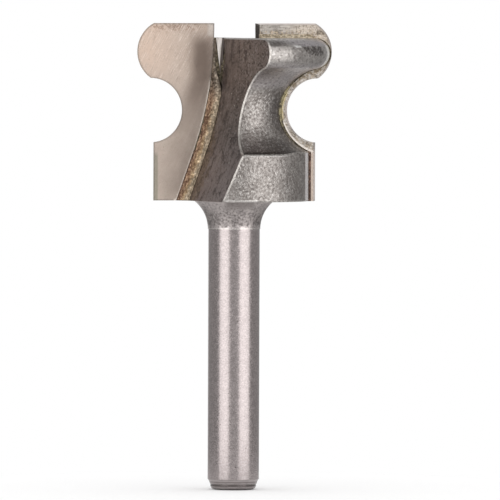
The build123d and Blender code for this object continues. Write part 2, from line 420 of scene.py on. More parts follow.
def blasted_back(b, place):
    """Back of the head, turned and then blasted: speckled light and dark, dark where flux lay, with
    painted shade and painted highlights.
    """
    grain = use(b, metal_grain, place, Size=0.30)
    patches = use(b, slow_mottle, place)
    edge = use(b, edge_wear_highlight, place, Width=0.14)
    flute = use(b, flute_place, place)
    up, behind = flute["Height"], b.times(flute["Out"], -1.0)
    over = b.maths("ADD", up, b.span(behind, RUNOUT_NEAR, RUNOUT_FAR, -BASE_TOP, RUNOUT - BASE_TOP))
    low_base = b.span(over, 0.02, -0.02)
    rim = b.span(up, RIM_CENTRE[1] - 1.9, RIM_CENTRE[1] - 0.5)
    waist = b.less(b.less(1.0, low_base), rim, True)
    colour = b.blend(grain["Tone"], (0.26, 0.232, 0.216), (0.45, 0.418, 0.395))
    colour = b.paint(
        colour, (low_base, 0.14, (0.60, 0.56, 0.53)), (patches["Slow"], 0.20, (0.22, 0.195, 0.18)),
        (rim, 0.42, (0.68, 0.64, 0.61)))
    # Dark places: a blot on the rim beside the tip, a smudge, darker steel beside the seat, and
    # painted shade under the rim's top and in the waist's hollow.
    ragged = b.times(b.less(b.noise(place, 0.55, 3.0, 0.65), 0.5), 2.6)
    torn_up, torn_behind = b.maths("ADD", up, ragged), b.maths("ADD", behind, ragged)
    blot = b.times(b.band(torn_up, *BLOT_UP), b.band(torn_behind, *BLOT_BEHIND))
    blot = b.times(blot, b.span(grain["Tone"], 1.0, 0.3, 0.65, 1.0))
    shade = b.times(b.band(up, *SHADE_UP), b.span(behind, 8.4, 9.4))
    shade = b.times(shade, b.span(patches["Quick"], 0.15, 0.6, 0.45, 0.85))
    beside = b.times(b.band(behind, *BESIDE_BEHIND), b.band(up, *BESIDE_UP))
    waist_hollow_shade = b.times(b.band(over, 0.0, 0.9, 1.1), waist)
    smudge = b.times(b.band(torn_up, *SMUDGE_UP), b.band(behind, *SMUDGE_BEHIND))
    for dark, share in ((blot, 0.85), (smudge, 0.34), (shade, 0.75), (beside, 0.6), (waist_hollow_shade, 0.66)):
        colour = b.blend(b.times(dark, share), colour, (0.115, 0.10, 0.094))
    # Painted shade: a dark line at the foot of the cove, along the base's upper edge.
    cove_foot_shade = b.times(b.band(over, 0.0, 0.3, 0.1), b.times(waist, b.span(behind, 5.0, 6.9, 0.15, 1.0)))
    colour = b.paint(colour, (cove_foot_shade, 0.75, (0.05, 0.042, 0.038)))
    # Light places: the rim's edge beside the tip, a painted highlight on the rim, a nick in it with
    # a painted glint, and painted highlights on the base's upper and lower edges.
    seat = b.span(behind, 5.3, 3.4)
    colour = b.paint(colour, (b.times(seat, rim), 0.5, (0.80, 0.78, 0.76)))
    brink = b.times(b.span(behind, 4.1, 3.5), b.band(up, *BRINK_UP))
    colour = b.paint(colour, (brink, 0.7, (0.96, 0.93, 0.87)))
    # A painted highlight on the rim.
    rim_highlight = b.times(b.band(torn_up, *RIM_HIGHLIGHT_UP), b.band(behind, *RIM_HIGHLIGHT_BEHIND))
    rim_highlight = b.times(rim_highlight, b.times(grain["Specks"], 0.7))
    colour = b.blend(rim_highlight, colour, (0.97, 0.94, 0.93))
    crown = b.times(b.band(up, *CROWN_UP), b.span(behind, 9.2, 8.0))
    colour = b.paint(colour, (crown, 0.55, (0.76, 0.71, 0.74)))
    throat = b.band(up, *THROAT_UP)
    colour = b.paint(
        colour, (throat, 0.58, (0.62, 0.575, 0.58)), (grain["Specks"], 0.45, (0.78, 0.75, 0.72)),
        (grain["Pits"], 0.45, (0.12, 0.104, 0.096)))
    # A nick in the rim, with a painted glint on it.
    nick_glint = b.times(b.band(up, *NICK_GLINT_UP), b.band(behind, *NICK_GLINT_BEHIND))
    colour = b.blend(nick_glint, colour, (0.97, 0.95, 0.93))
    flux = b.times(b.span(behind, 2.5, 2.2), waist)
    colour = b.paint(colour, (flux, 0.7, (0.17, 0.15, 0.105)))
    relieved = b.times(b.band(behind, RELIEF_NEAR, RELIEF_FAR, 0.10), low_base)
    colour = b.paint(colour, (relieved, 0.85, (0.83, 0.80, 0.80)))
    # The edges are lightened as wear and as a painted highlight, but not over the painted shade at
    # the cove's foot.
    worn_highlight = b.times(edge["Worn Highlight"], b.less(1.0, cove_foot_shade))
    colour = b.paint(colour, (worn_highlight, 0.8, (0.74, 0.71, 0.67)))
    # Painted highlights along the base's upper edge and, on one side, its lower edge.
    upper_edge_highlight = b.times(b.band(over, -0.20, -0.04, 0.05), b.span(behind, 6.1, 6.7, 0.10, 1.0))
    p = b.parts(place)
    side = b.times(p[0], b.maths("SIGN", p[1]))
    lower_edge_highlight = b.times(
        b.band(up, NECK_TOP, NECK_TOP + 0.22, 0.05), b.span(side, -2.4 * MM, -1.6 * MM))
    bright = b.maths("MAXIMUM", b.times(upper_edge_highlight, 0.36), b.times(lower_edge_highlight, 0.6))
    colour = b.blend(bright, colour, (0.95, 0.91, 0.88))
    rough = b.plus(grain["Tone"], -0.10, 0.41)
    rough = b.plus(relieved, 0.30, rough)
    metal = b.plus(brink, -0.45, 1.0)
    return look(b, colour, rough, (0.8, 0.04), grain["Height"], metal)


def milled_gullet(b, place):
    """Milled gullet, dark from the brazing heat, with small pits and marks along the wall."""
    grain = use(b, metal_grain, place, Size=0.28)
    patches = use(b, slow_mottle, place)
    flute = use(b, flute_place, place, Sense=GULLET_SENSE)
    up = flute["Height"]
    marks = b.noise(b.mapped(place, scale=(1, 1, 0.14)), 0.40, 3.0, 0.6)
    blots = b.noise(b.mapped(place, scale=(1, 1, 0.45)), 1.1, 4.0, 0.65)
    edge = use(b, edge_wear_highlight, place, Width=0.10)
    colour = b.blend(patches["Slow"], (0.205, 0.173, 0.16), (0.30, 0.257, 0.24))
    colour = b.blend(b.span(up, 46.0, 37.0, 0.0, 0.6), colour, (0.47, 0.405, 0.405))
    colour = b.paint(
        colour, (b.span(blots, 0.50, 0.62), 0.7, (0.085, 0.069, 0.066)),
        (b.span(blots, 0.46, 0.34), 0.35, (0.40, 0.35, 0.33)),
        (b.span(marks, 0.52, 0.66), 0.38, (0.085, 0.069, 0.063)),
        (b.span(grain["Tone"], 0.5, 1.0), 0.3, (0.33, 0.29, 0.27)))
    # Away from the braze the blasting reached the wall and left it speckled.
    reached = b.times(b.span(flute["Out"], 3.0, 7.5), b.span(up, 40.0, 52.0, 0.35, 1.0))
    specks = b.times(grain["Specks"], b.plus(reached, 0.6, 0.2))
    colour = b.blend(specks, colour, (0.50, 0.46, 0.44))
    pits = b.times(grain["Pits"], b.plus(reached, 0.6, 0.25))
    colour = b.blend(pits, colour, (0.045, 0.037, 0.033))
    sparks = b.times(b.span(b.cells(place, 1.5), 0.075, 0.045), b.span(blots, 0.44, 0.54))
    colour = b.paint(colour, (sparks, 0.8, (0.80, 0.78, 0.74)))
    # Flux and thin braze ran up the wall from the bead, furthest near the foot.
    spread = b.span(up, 49.5, 38.0, 1.2, 3.6)
    ran = b.plus(b.less(patches["Quick"], 0.5), 1.1, flute["Out"])
    thin_braze = b.span(b.less(ran, spread), 0.5, -0.7)
    thin_colour = b.blend(grain["Tone"], (0.13, 0.10, 0.072), (0.36, 0.28, 0.205))
    colour = b.blend(b.times(thin_braze, 0.7), colour, thin_colour)
    # The edges are lightened as wear and as a painted highlight.
    colour = b.paint(colour, (edge["Worn Highlight"], 0.8, (0.66, 0.62, 0.58)))
    rough = b.plus(patches["Quick"], 0.12, 0.40)
    level = b.plus(marks, 0.8, grain["Height"])
    return look(b, colour, rough, (0.6, 0.035), level)


def bright_steel(b, place):
    """Freshly ground steel: the head's broken edges."""
    grain = use(b, metal_grain, place, Size=0.15)
    colour = b.blend(grain["Tone"], (0.42, 0.39, 0.365), (0.74, 0.70, 0.66))
    rough = b.plus(grain["Tone"], 0.1, 0.34)
    return look(b, colour, rough, (0.3, 0.01), grain["Height"])


def cleaned_flat(b, place):
    """The bead ground flush beside the top of a tip, with the wheel's streaks along it."""
    streaks = b.noise(b.mapped(place, scale=(1, 1, 0.08)), 0.22, 2.0, 0.5)
    grain = use(b, metal_grain, place, Size=0.15)
    colour = b.blend(b.span(streaks, 0.42, 0.58), (0.34, 0.31, 0.285), (0.50, 0.465, 0.44))
    # The strip along the wall is painted dark as shade, as dark as the wall.
    flute = use(b, flute_place, place)
    wall_strip_shade = b.plus(b.less(HEAD_TOP, flute["Height"]), 0.10, flute["Inward"])
    colour = b.blend(b.span(wall_strip_shade, 10.55, 10.63), colour, (0.07, 0.058, 0.053))
    rough = b.plus(grain["Tone"], 0.1, 0.30)
    return look(b, colour, rough, (0.3, 0.01), streaks)


# Marks and painted shade on a tip, the same way: heights, and distances in from the cutting edge
WALL_SHADE_ACROSS = (7.85, 8.45, 1.9)
STAIN_ACROSS = (2.4, 7.0, 1.2)
SMEAR_UP = (46.2, 48.8, 0.7)
SCORCH_UP = (49.4, 52.4, 0.7)
DWELT_UP = (45.2, 48.6, 0.8)


def carbide(b, place):
    """Ground carbide: beige with the wheel's scratches, brown where the heat reached, with painted
    shade and painted highlights.
    """
    grain = use(b, metal_grain, place, Size=0.20)
    patches = use(b, slow_mottle, place)
    flute = use(b, flute_place, place)
    inward, up, out = flute["Inward"], flute["Height"], flute["Out"]
    flat = b.vector(b.times(inward, MM), b.times(up, MM), 0.0)
    lines = use(b, fine_scratches, b.mapped(flat, turn=(0, 0, SCRATCH_TURN)))["Lines"]
    marks = use(
        b, fine_scratches,
        b.mapped(flat, turn=(0, 0, SCRATCH_TURN - 8), shift=(0.004, 0.009, 0)))["Lines"]
    edge = use(b, edge_wear_highlight, place, Width=0.42)
    speckle = b.span(b.noise(place, 0.42, 3.0, 0.7), 0.44, 0.60)
    bulb = b.span(up, COVE_Z, BULB_Z)
    outer = b.span(inward, 6.6, 1.0)
    colour = b.blend(patches["Slow"], (0.40, 0.337, 0.289), (0.457, 0.385, 0.332))
    colour = b.paint(colour, (patches["Quick"], 0.18, (0.56, 0.43, 0.38)))
    # The outer part of the bulb is painted lighter: a painted highlight.
    colour = b.blend(b.times(bulb, b.plus(outer, 0.65, 0.35)), colour, (0.575, 0.447, 0.366))
    # Painted shade along the inner side of the tip, standing in for the gullet wall's dark
    # reflection: darkest near its top.
    lean = b.plus(b.span(up, 51.0, 40.0, 0, 1, False), 3.6, inward)
    tint = b.times(b.band(lean, *WALL_SHADE_ACROSS), b.span(up, 41.0, 52.5, 0.22, 1.0))
    tint = b.times(tint, b.span(up, 57.2, 54.6, 0.05, 1.0))
    colour = b.paint(colour, (tint, 0.84, (0.15, 0.113, 0.093)))
    dulled = b.times(b.span(lean, 8.8, 9.4), b.span(up, 57.1, 55.4))
    colour = b.paint(colour, (dulled, 0.20, (0.17, 0.135, 0.115)))
    stain = b.times(b.span(up, 56.1, 57.2), b.band(inward, *STAIN_ACROSS))
    colour = b.paint(
        colour, (b.times(stain, speckle), 0.75, (0.29, 0.185, 0.135)),
        (b.times(b.span(up, 56.6, 57.3), speckle), 0.35, (0.20, 0.155, 0.12)))
    pale = b.times(b.span(inward, 8.75, 9.2), b.span(up, 55.7, 56.3))
    colour = b.paint(colour, (pale, 0.5, (0.62, 0.58, 0.55)))
    # Scratches show most on the outer part of the bulb, in patches.
    showing = b.plus(bulb, 0.32, 0.09)
    showing = b.times(showing, b.less(1.0, tint, True))
    showing = b.times(showing, b.span(patches["Quick"], 0.2, 0.8, 0.35, 1.6))
    colour = b.blend(b.times(lines, showing), colour, (0.92, 0.82, 0.75))
    colour = b.blend(b.times(marks, showing), colour, (0.26, 0.20, 0.17))
    low = b.span(up, 42.0, 41.0)
    margin = b.times(b.span(inward, 2.75, 2.55), low)
    colour = b.paint(colour, (margin, 0.9, (0.29, 0.265, 0.215)))
    # Rear face: grey, golden towards the cutting edge, tarnished beside the braze.
    rear = b.span(out, -1.9, -1.97)
    wheel = b.noise(b.mapped(place, scale=(0.15, 0.15, 1)), 0.16, 2.0, 0.6)
    plain = b.blend(b.span(wheel, 0.35, 0.65), (0.29, 0.265, 0.238), (0.52, 0.48, 0.44))
    golden = b.blend(grain["Tone"], (0.46, 0.35, 0.26), (0.74, 0.62, 0.49))
    plain = b.blend(b.times(b.span(inward, 7.2, 3.6), b.span(up, 54.2, 56.0), 0.35), plain, golden)
    flux = b.times(b.span(up, HEAD_TOP + 1.25, HEAD_TOP + 0.7), speckle)
    tarnish = b.blend(grain["Tone"], (0.16, 0.115, 0.075), (0.66, 0.53, 0.38))
    plain = b.blend(b.times(flux, 0.7), plain, tarnish)
    chips = b.times(b.span(up, 55.5, 56.6), b.times(b.span(inward, 3.1, 2.3), speckle))
    plain = b.paint(plain, (chips, 0.8, (0.11, 0.095, 0.08)))
    mottle = b.times(b.span(up, HEAD_TOP + 0.1, HEAD_TOP - 0.1), speckle)
    plain = b.paint(
        plain, (mottle, 0.5, (0.16, 0.14, 0.118)), (grain["Pits"], 0.5, (0.10, 0.085, 0.07)))
    p = b.parts(place)
    radius = b.length(p[0], p[1])
    reach = b.length(b.less(radius, WAIST_CENTRE[0] * MM), b.less(p[2], WAIST_CENTRE[1] * MM))
    smear = b.span(reach, (WAIST_ARC - 0.45) * MM, (WAIST_ARC - 0.15) * MM)
    smear = b.times(smear, b.band(up, *SMEAR_UP))
    plain = b.paint(plain, (smear, 0.8, (0.50, 0.41, 0.20)))
    # A painted highlight along the rear face's edge, low in the cove.
    lit = b.times(
        b.span(reach, (WAIST_ARC - 0.40) * MM, (WAIST_ARC - 0.26) * MM),
        b.band(up, BASE_TOP, 45.2, 0.6))
    plain = b.paint(plain, (lit, 0.55, (0.90, 0.83, 0.77)))
    scorched = b.times(
        b.span(reach, (WAIST_ARC - 0.50) * MM, (WAIST_ARC - 0.36) * MM), b.band(up, *SCORCH_UP))
    plain = b.blend(b.times(scorched, b.plus(speckle, 0.5, 0.25)), plain, (0.13, 0.10, 0.065))
    rear_low = b.span(up, BASE_TOP + 0.3, BASE_TOP - 0.3)
    plain = b.paint(plain, (rear_low, 0.8, (0.48, 0.392, 0.335)))
    colour = b.blend(rear, colour, plain)
    # The flank behind the edge is duller at the base and in the cove, where the wheel dwelt.
    dwelt = b.maths("ADD", b.span(up, BASE_TOP + 0.6, BASE_TOP - 0.4), b.band(up, *DWELT_UP))
    flank = b.times(b.band(out, -1.90, -0.10, 0.05), b.plus(dwelt, 0.7, 0.3))
    colour = b.paint(colour, (flank, 0.9, (0.72, 0.60, 0.54)))
    inner_end = b.span(inward, TIP_WIDTH - 0.09, TIP_WIDTH - 0.04)
    colour = b.blend(inner_end, colour, (0.035, 0.026, 0.02))
    freckle = b.span(b.cells(place, 0.8), 0.12, 0.06)
    colour = b.paint(colour, (freckle, 0.35, (0.20, 0.15, 0.12)))
    # Painted shade darkens the edges, and a painted highlight makes a bright line where the rake
    # face meets the bead.
    sweep = b.maths("DIVIDE", b.less(SWEEP_TOP, up), SWEEP_RADIUS)
    sweep = b.maths("MINIMUM", b.maths("MAXIMUM", sweep, 0.0), sin(leave))
    arc = b.less(1.0, b.maths("SQRT", b.less(1.0, b.times(sweep, sweep))))
    run = b.maths("MAXIMUM", b.less(SWEEP_END, up), 0.0)
    seam = b.plus(arc, -SWEEP_RADIUS, b.plus(run, -tan(leave), TIP_WIDTH))
    by_bead = b.times(b.span(b.less(seam, inward), 0.45, 0.30), b.span(up, 51.2, 49.8))
    colour = b.blend(
        b.times(
            edge["Outline"], b.less(1.0, by_bead),
            b.times(b.span(rear, 0.0, 1.0, 0.62, 0.25), b.less(1.0, b.times(rear_low, rear)))),
        colour, (0.15, 0.138, 0.123))
    colour = b.paint(
        colour, (b.times(edge["Outline"], by_bead), 0.75, (0.92, 0.84, 0.75)),
        (grain["Pits"], 0.15, (0.20, 0.16, 0.13)))
    rough = b.plus(patches["Quick"], 0.08, 0.30)
    rough = b.plus(inner_end, 0.45, rough)
    level = b.plus(lines, -0.3, b.plus(marks, -0.3, grain["Height"]))
    metal = b.less(b.plus(flank, -0.6, 1.0), inner_end, True)
    return look(b, colour, rough, (0.30, 0.012), level, metal)


COVE_BRAZE_UP = (45.8, 49.2, 1.2)  # low, high and softness of the pale braze in the cove


def brass_braze(b, place):
    """Braze filler in the joints: brown where the flux burnt on, golden where it ran clean."""
    grain = use(b, metal_grain, place, Size=0.34)
    patches = use(b, slow_mottle, place)
    flute = use(b, flute_place, place)
    up = flute["Height"]
    ledge = b.span(up, HEAD_TOP - 0.1, HEAD_TOP + 0.05)
    ruddy = b.blend(grain["Tone"], (0.06, 0.037, 0.030), (0.21, 0.132, 0.098))
    sooty = b.blend(grain["Tone"], (0.04, 0.034, 0.024), (0.15, 0.125, 0.088))
    colour = b.blend(b.span(up, BASE_TOP - 0.4, BASE_TOP + 0.6), ruddy, sooty)
    cove = b.times(b.band(up, *COVE_BRAZE_UP), b.span(flute["Out"], -0.3, -0.8))
    colour = b.blend(b.times(cove, b.span(patches["Quick"], 0.1, 0.5)), colour, (0.29, 0.25, 0.15))
    gold = b.blend(grain["Tone"], (0.40, 0.32, 0.22), (0.98, 0.85, 0.66))
    colour = b.blend(ledge, colour, gold)
    rough = b.plus(grain["Tone"], -0.15, 0.50)
    metal = b.plus(ledge, -0.30, 1.0)
    return look(b, colour, rough, (0.6, 0.05), grain["Height"], metal)


def bead_braze(b, place):
    """Braze bead: burnt brown beside the tip, golden on its ridge low down with a painted
    highlight, olive on the wall.
    """
    grain = use(b, metal_grain, place, Size=0.32)
    patches = use(b, slow_mottle, place)
    across = b.add("ShaderNodeAttribute", 2, attribute_name="across")
    wander = b.plus(b.less(patches["Quick"], 0.5), 0.22, across)
    height = b.parts(place)[2]
    low = b.span(height, 0.0490, 0.0430)
    burnt = b.blend(grain["Tone"], (0.18, 0.11, 0.075), (0.62, 0.43, 0.30))
    golden_ridge_highlight = b.blend(grain["Tone"], (0.36, 0.245, 0.145), (0.80, 0.61, 0.39))
    thin = b.blend(grain["Tone"], (0.21, 0.168, 0.12), (0.45, 0.36, 0.265))
    dull = b.blend(grain["Tone"], (0.105, 0.085, 0.067), (0.36, 0.30, 0.24))
    colour = b.blend(b.span(wander, 0.35, 0.75), burnt, thin)
    colour = b.blend(b.less(1.0, b.span(height, 0.0505, 0.0475)), colour, dull)
    colour = b.blend(b.span(height, 0.0522, 0.0545, 0.0, 0.6), colour, (0.10, 0.078, 0.058))
    # The golden ridge low down is the braze's own colour, with a painted highlight along it.
    ridge = b.times(b.band(wander, 0.48, 0.60, 0.16), low)
    ruddy = b.span(b.noise(place, 0.6, 3.0, 0.65), 0.46, 0.62)
    ridge = b.times(ridge, b.plus(ruddy, -0.6, 0.95))
    colour = b.blend(ridge, colour, golden_ridge_highlight)
    colour = b.paint(colour, (b.times(grain["Specks"], low), 0.45, (0.90, 0.76, 0.56)))
    rough = b.plus(grain["Tone"], -0.12, 0.50)
    return look(b, colour, rough, (0.6, 0.05), grain["Height"])


# ---------------------------------------------------------------- steel body
def turn_end(work):
    """Cut the shank's plain end chamfer into the steps that the lathe left."""
    chamfer = [vert for vert in work.verts if vert.co.z < (END_CHAMFER - NEAR) * MM]
    bmesh.ops.delete(work, geom=chamfer, context="VERTS")
    for z, radius in END_STEPS:
        ring = [edge for edge in work.edges if edge.is_boundary]
        if z < END_STEPS[0][0]:
            bmesh.ops.extrude_edge_only(work, edges=ring)
            ring = [edge for edge in work.edges if edge.is_boundary]
        for vert in {vert for edge in ring for vert in edge.verts}:
            outward = Vector((vert.co.x, vert.co.y, 0)).normalized()
            vert.co = outward * radius * MM + Vector((0, 0, z * MM))
    bmesh.ops.edgeloop_fill(work, edges=[edge for edge in work.edges if edge.is_boundary])
    bmesh.ops.recalc_face_normals(work, faces=work.faces)
    # The new rings come in a different order on each run, so edges and faces are put in one order.
    work.verts.index_update()
    count = len(work.verts)

    def rank(part):
        first, second, *more = sorted(vert.index for vert in part.verts)
        return (first * count + second) * count + (more[0] if more else 0)

    work.edges.sort(key=rank)
    work.faces.sort(key=rank)


def linked(name, data):
    """A new object in the scene."""
    made = bpy.data.objects.new(name, data)
    bpy.context.scene.collection.objects.link(made)
    return made


def merged_copy(node, name, reshape):
    """The CAD solid's own surface as one closed mesh, smooth but for its real edges."""
    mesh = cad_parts[node].data.copy()
    mesh.name = name
    work = bmesh.new()
    work.from_mesh(mesh)
    bmesh.ops.remove_doubles(work, verts=work.verts, dist=MERGE * MM)
    reshape(work)
    for face in work.faces:
        face.smooth = True
    for edge in work.edges:
        edge.smooth = edge.calc_face_angle(0.0) < radians(SHARP_ANGLE)
    work.to_mesh(mesh)
    work.free()
    if mesh.has_custom_normals:
        mesh.attributes.remove(mesh.attributes["custom_normal"])
    mesh.materials.clear()
    return linked(name, mesh)


def eased(value, low, high):
    """Nothing at low, one at high, and a smooth step between them."""
    share = min(max((value - low) / (high - low), 0.0), 1.0)
    return share * share * (3 - 2 * share)


def on_rake(point):
    """Place of a point, in millimetres, on the nearer rake face: inward, up, out of it."""
    places = []
    for turn in (1, -1):
        p = Vector((point.x * turn + CUTTING_RADIUS, point.y * turn, 0))
        places.append((p.dot(RAKE_IN), point.z, p.dot(RAKE_OUT)))
    return min(places, key=lambda place: abs(place[2]))


def below_profile(z, r):
    """How deep a point lies under the turned surface of the head."""
    if z < BASE_TOP:
        return BASE_RADIUS - r
    if z < WAIST_TOUCH:
        return hypot(WAIST_CENTRE[0] - r, z - WAIST_CENTRE[1]) - WAIST_ARC
    return RIM_ARC - hypot(max(r - RIM_CENTRE[0], 0), z - RIM_CENTRE[1])


def steel_surface(centre, normal, height):
    """Which machined surface a facet of the steel body belongs to."""
    z, r = centre.z, hypot(centre.x, centre.y)
    if z < SHANK_TOP - NEAR:
        return "shank"
    if z < NECK_TOP - NEAR:
        return "neck"
    if abs(normal.z) > LEVEL:
        return "faced"
    across = abs(centre.x * normal.y - centre.y * normal.x) / max(r, 1e-6)
    below = below_profile(z, r)
    if across < TURNED_SLACK and below < TURNED_SLACK:
        return "back"
    if below < EDGE_BREAK and height < BREAK_REACH * EDGE_BREAK:
        return "broken_edge"
    if abs(normal.dot(RAKE_OUT)) > SQUARE and abs(on_rake(centre)[2]) < RAKE_SLACK:
        return "broken_edge"
    return "gullet"


steel_finishes = {
    "shank": finish_material("ground_shank_steel", ground_shank),
    "neck": finish_material("turned_neck_steel", turned_neck),
    "back": finish_material("blasted_head_steel", blasted_back),
    "gullet": finish_material("milled_gullet_steel", milled_gullet),
    "broken_edge": finish_material("broken_edge_steel", bright_steel),
    "faced": finish_material("faced_steel", faced_steel),
}
carbide_finish = finish_material("ground_carbide", carbide)
braze_finish = finish_material("brass_braze_filler", brass_braze)
bead_finish = finish_material("brass_braze_bead", bead_braze)
flat_finish = finish_material("ground_flat_brass", cleaned_flat)

steel = merged_copy("steel_body", "machined_steel_body", turn_end)
order = list(steel_finishes)
for finish in steel_finishes.values():
    steel.data.materials.append(finish)
for facet in steel.data.polygons:
    corners = [steel.data.vertices[v].co / MM for v in facet.vertices]
    longest = max((corners[k] - corners[k - 1]).length for k in range(len(corners)))
    height = 2 * facet.area / MM ** 2 / longest
    facet.material_index = order.index(steel_surface(facet.center / MM, facet.normal, height))
for vert in steel.data.vertices:
    z, behind = vert.co.z / MM, -on_rake(vert.co / MM)[2]
    if hypot(vert.co.x, vert.co.y) > RUNOUT_INNER * MM and BASE_TOP - 2 * EDGE_BREAK < z:
        share = eased(z, BASE_TOP + RUNOUT_FADE, BASE_TOP + EDGE_BREAK)
        low = eased(behind, RUNOUT_NEAR, RUNOUT_FAR) * share
        vert.co.z -= RUNOUT * low * MM
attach(steel, "root")
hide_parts("steel_body")

for side in ("front", "back"):
    for body, finish in (("carbide_tip", carbide_finish), ("braze_seam", braze_finish)):
        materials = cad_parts[f"{body}_{side}"].data.materials
        materials.clear()
        materials.append(finish)


# ---------------------------------------------------------------- braze beads
BEAD_TOP, BEAD_BOTTOM = 55.6, 35.72
BEAD_STATIONS = 60
BEAD_ALONG, BEAD_AROUND = 300, 28
BEAD_CLIMB, BEAD_SEED = 1.7, 0.01
WALL_LEAN = 12.5  # of the gullet's wall, out from the normal of the rake face
LUMP_HEIGHT, LUMP_SIZE, RIDGE_HEIGHT = 0.05, 0.45, 0.10
# Corners of the flat ground on a bead's top end: inward, height, and out of the rake face
FLAT_OUTLINE = ((9.90, HEAD_TOP, 0.42), (10.82, HEAD_TOP, 0.90), (10.42, HEAD_TOP - 5.4, 1.12))
FLAT_FLOOR = 0.01  # its underside, this far out of the rake face
BEAD_FACE = 0.72  # share of the bead's outline that shows; the rest closes it inside the corner


def seam_line(z):
    """Inner edge of a tip on its rake face at a height: how far inward it lies."""
    turn = min(asin((SWEEP_TOP - z) / SWEEP_RADIUS), leave)
    straight = max(0.0, SWEEP_END - z)
    return TIP_WIDTH - SWEEP_RADIUS * (1 - cos(turn)) - straight * tan(leave)


def on_flute(inward, z, out, turn):
    """Point of a flute in the frame's metres; turn is 1 for the front flute, -1 for the back."""
    p = Vector((-CUTTING_RADIUS, 0, 0)) + RAKE_IN * inward + RAKE_OUT * out
    return Vector((p.x * turn, p.y * turn, z)) * MM


def bead_form():
    """Geometry Nodes: a lumpy bead along a curve, between a rake face and its wall."""
    tree = bpy.data.node_groups.new("braze_bead_form", "GeometryNodeTree")
    inlets = (
        ("Geometry", "Geometry"), ("Foot", "Float"), ("Climb", "Float"), ("Lean", "Float"),
        ("Inward", "Vector"), ("Outward", "Vector"), ("Lump Height", "Float"),
        ("Lump Size", "Float"), ("Ridge Height", "Float"), ("Along", "Int"), ("Around", "Int"),
        ("Seed", "Float"), ("Finish", "Material"))
    for name, kind in inlets:
        tree.interface.new_socket(name, in_out="INPUT", socket_type="NodeSocket" + kind)
    tree.interface.new_socket("Geometry", in_out="OUTPUT", socket_type="NodeSocketGeometry")
    b = Board(tree)
    inlet = tree.nodes.new("NodeGroupInput").outputs
    tube = b.add(
        "GeometryNodeMeshCylinder", 0,
        {"Vertices": inlet["Around"], "Side Segments": inlet["Along"], "Radius": 1.0, "Depth": 1.0})
    p = b.parts(b.add("GeometryNodeInputPosition", 0))
    down = b.less(0.5, p[2])
    round_it = b.maths("FRACT", b.plus(b.maths("ARCTAN2", p[1], p[0]), 0.5 / pi, 1.0))
    under = b.maths("MAXIMUM", b.maths("DIVIDE", b.less(round_it, BEAD_FACE), 1 - BEAD_FACE), 0.0)
    across = b.less(b.maths("MINIMUM", b.maths("DIVIDE", round_it, BEAD_FACE), 1.0), under)
    line = b.add(
        "GeometryNodeSampleCurve", 1, {"Curves": inlet["Geometry"], "Factor": down}, mode="FACTOR")
    wide = b.span(down, 0.12, 0.34, 0.17, 1.0)
    step_in = b.plus(inlet["Climb"], b.maths("SINE", inlet["Lean"]), inlet["Foot"])
    step_out = b.times(inlet["Climb"], b.maths("COSINE", inlet["Lean"]))
    arch = b.maths("SINE", b.times(across, pi))
    face = b.less(1.0, b.maths("GREATER_THAN", under, 0.0))
    crest = b.band(across, 0.45, 0.60, 0.28)
    skin = b.span(arch, 0.0, 0.3)
    seat = b.add(
        "ShaderNodeVectorMath", 0,
        {0: line, 1: b.vector(b.times(across, 0.004), 0.0, inlet["Seed"])}, operation="ADD")
    fine = b.maths("DIVIDE", 1.0, inlet["Lump Size"])
    lump = b.add(
        "ShaderNodeTexNoise", 0, {"Vector": seat, "Scale": fine, "Detail": 3.0, "Roughness": 0.6})
    rise = b.times(b.less(lump, 0.35), b.times(inlet["Lump Height"], 2.0))
    rise = b.plus(crest, inlet["Ridge Height"], rise)
    rise = b.times(rise, skin, face)
    sink = b.times(b.maths("SINE", b.times(under, pi)), inlet["Foot"], -0.35)
    rise = b.maths("ADD", rise, sink)
    long_side = b.maths(
        "SQRT", b.maths("ADD", b.times(step_in, step_in), b.times(step_out, step_out)))
    in_part = b.times(across, step_in, wide)
    in_part = b.less(in_part, b.times(rise, b.maths("DIVIDE", step_out, long_side)))
    out_part = b.times(across, step_out, wide)
    out_part = b.plus(rise, b.maths("DIVIDE", step_in, long_side), out_part)
    inward = b.add(
        "ShaderNodeVectorMath", 0, {0: inlet["Inward"], "Scale": in_part}, operation="SCALE")
    outward = b.add(
        "ShaderNodeVectorMath", 0, {0: inlet["Outward"], "Scale": out_part}, operation="SCALE")
    place = b.vectors("ADD", line, inward)
    place = b.vectors("ADD", place, outward)
    marked = b.add(
        "GeometryNodeStoreNamedAttribute", 0, {"Geometry": tube, "Name": "across", "Value": across},
        data_type="FLOAT", domain="POINT")
    shaped = b.add("GeometryNodeSetPosition", 0, {"Geometry": marked, "Position": place})
    smooth = b.add("GeometryNodeSetShadeSmooth", 0, {"Geometry": shaped})
    real = b.add("GeometryNodeRealizeInstances", 0, {"Geometry": smooth})
    dressed = b.add("GeometryNodeSetMaterial", 0, {"Geometry": real, "Material": inlet["Finish"]})
    b.feed(tree.nodes.new("NodeGroupOutput").inputs["Geometry"], dressed)
    return tree


bead_tree = bead_form()


def dressed_curve(name, points, tree, values):
    """A plain mesh of what a Geometry Nodes tree makes of a curve."""
    curve = bpy.data.curves.new(name + "_line", "CURVE")
    curve.dimensions = "3D"
    spline = curve.splines.new("POLY")
    spline.points.add(len(points) - 1)
    for point, place in zip(spline.points, points):
        point.co = (*place, 1)
    source = linked(name + "_line", curve)
    modifier = source.modifiers.new("form", "NODES")
    modifier.node_group = tree
    items = tree.interface.items_tree
    sockets = {item.name: item.identifier for item in items if item.in_out == "INPUT"}
    for key, value in values.items():
        modifier[sockets[key]] = value
    depsgraph = bpy.context.evaluated_depsgraph_get()
    mesh = bpy.data.meshes.new_from_object(source.evaluated_get(depsgraph), depsgraph=depsgraph)
    mesh.name = name
    bpy.data.objects.remove(source)
    return linked(name, mesh)


